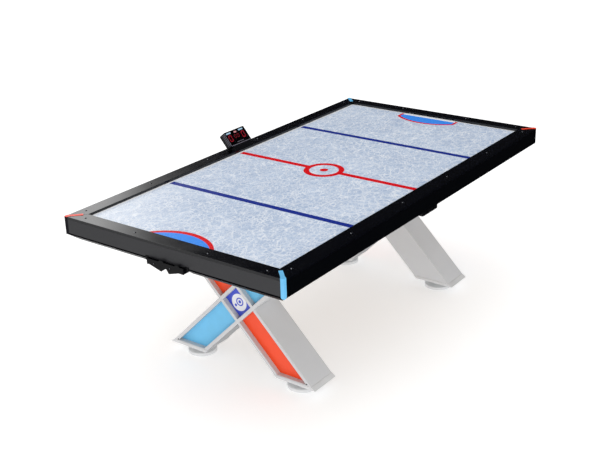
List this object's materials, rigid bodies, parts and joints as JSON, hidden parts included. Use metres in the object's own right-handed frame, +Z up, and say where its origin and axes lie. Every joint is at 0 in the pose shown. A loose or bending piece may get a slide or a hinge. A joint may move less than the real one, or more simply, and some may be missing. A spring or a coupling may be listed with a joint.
{
  "type": "air hockey table",
  "caption": "Full-size air hockey table on two X-shaped legs with coloured inserts, flat black rails, goal slots, puck returns, blower and electronic scoreboard.",
  "frame": {"origin": "on the floor under the middle of the table", "axes": "+X along the table's length to the away end, +Y across it to the scoreboard's side, +Z up"},
  "size_m": [2.314, 1.2448, 0.9108],
  "materials": {
    "black_laminate": "satin black laminate on board",
    "black_moulding": "satin black laminate on board",
    "raw_board": "raw fibreboard",
    "ice_laminate": "gloss printed laminate on board",
    "blue_trim": "satin",
    "orange_trim": "satin",
    "bright_steel": "plated",
    "black_plastic": "fine moulded texture",
    "smoked_lens": "smoked, gloss",
    "display_board": "matt",
    "motor_can": "plated",
    "impeller_plastic": "moulded",
    "grey_leg": "satin grey paint on board",
    "blue_insert": "satin",
    "orange_insert": "satin",
    "badge_blue": "satin",
    "plate_steel": "satin black",
    "pale_cap": "moulded",
    "pale_foot": "moulded"
  },
  "bodies": {
    "table": {"rail_score": "black_laminate", "rail_home": "black_laminate", "rail_front": "black_laminate", "rail_away": "black_laminate", "apron_score": "black_laminate", "apron_home": "black_laminate", "apron_front": "black_laminate", "apron_away": "black_laminate", "bevel_score": "black_moulding", "bevel_home": "black_moulding", "bevel_front": "black_moulding", "bevel_away": "black_moulding", "stringer_score": "raw_board", "stringer_home": "raw_board", "stringer_front": "raw_board", "stringer_away": "raw_board", "floor_panel": "raw_board", "playfield": "ice_laminate", "corner_trim_home_front": "blue_trim", "corner_trim_away_score": "blue_trim", "corner_trim_home_score": "orange_trim", "corner_trim_away_front": "orange_trim", "rail_bolts": "bright_steel", "return_screws": "bright_steel", "blower_screws": "bright_steel", "leg_bolts": "bright_steel", "goal_box_home": "black_plastic", "goal_box_away": "black_plastic", "goal_sensors": "black_plastic", "puck_return_home": "black_plastic", "puck_return_away": "black_plastic", "blower_housing": "black_plastic", "inlet_grille": "black_plastic", "power_box": "black_plastic", "power_socket": "black_plastic", "scoreboard_stand": "black_plastic", "scoreboard_housing": "black_plastic", "scoreboard_lens": "smoked_lens", "scoreboard_display": "display_board", "blower_motor": "motor_can", "leg_home_long_beam": "grey_leg", "leg_home_lower_arm": "grey_leg", "leg_home_upper_arm": "grey_leg", "leg_away_long_beam": "grey_leg", "leg_away_lower_arm": "grey_leg", "leg_away_upper_arm": "grey_leg", "inserts_blue": "blue_insert", "inserts_orange": "orange_insert", "badge_plate_home": "badge_blue", "badge_plate_away": "badge_blue", "leg_plates": "plate_steel", "foot_caps": "pale_cap"},
    "impeller": {"blower_impeller": "impeller_plastic"},
    "switch_rocker": {"power_switch": "black_plastic"},
    "reset_button": {"button_reset": "black_plastic"},
    "start_button": {"button_start": "black_plastic"},
    "foot_home_front": {"levelling_foot_home_front": "pale_foot"},
    "foot_home_score": {"levelling_foot_home_score": "pale_foot"},
    "foot_away_front": {"levelling_foot_away_front": "pale_foot"},
    "foot_away_score": {"levelling_foot_away_score": "pale_foot"}
  },
  "joints": [
    {"name": "impeller_spin", "type": "hinge", "parent": "table", "child": "impeller", "pos_m": [0, 0, 0.66], "axis": [0, 0, 1], "continuous": true},
    {"name": "switch_rock", "type": "hinge", "parent": "table", "child": "switch_rocker", "pos_m": [-0.03, -0.598, 0.721], "axis": [-1, 0, 0], "range_deg": [0, 20]},
    {"name": "reset_press", "type": "slide", "parent": "table", "child": "reset_button", "axis": [-1, 0, 0], "range_m": [0, 0.0012], "stiffness_N_per_m": 400, "springref_m": -0.0006},
    {"name": "start_press", "type": "slide", "parent": "table", "child": "start_button", "axis": [-1, 0, 0], "range_m": [0, 0.0012], "stiffness_N_per_m": 400, "springref_m": -0.0006},
    {"name": "foot_home_front_screw", "type": "slide", "parent": "table", "child": "foot_home_front", "axis": [0, 0, -1], "range_m": [0, 0.012]},
    {"name": "foot_home_score_screw", "type": "slide", "parent": "table", "child": "foot_home_score", "axis": [0, 0, -1], "range_m": [0, 0.012]},
    {"name": "foot_away_front_screw", "type": "slide", "parent": "table", "child": "foot_away_front", "axis": [0, 0, -1], "range_m": [0, 0.012]},
    {"name": "foot_away_score_screw", "type": "slide", "parent": "table", "child": "foot_away_score", "axis": [0, 0, -1], "range_m": [0, 0.012]}
  ]
}
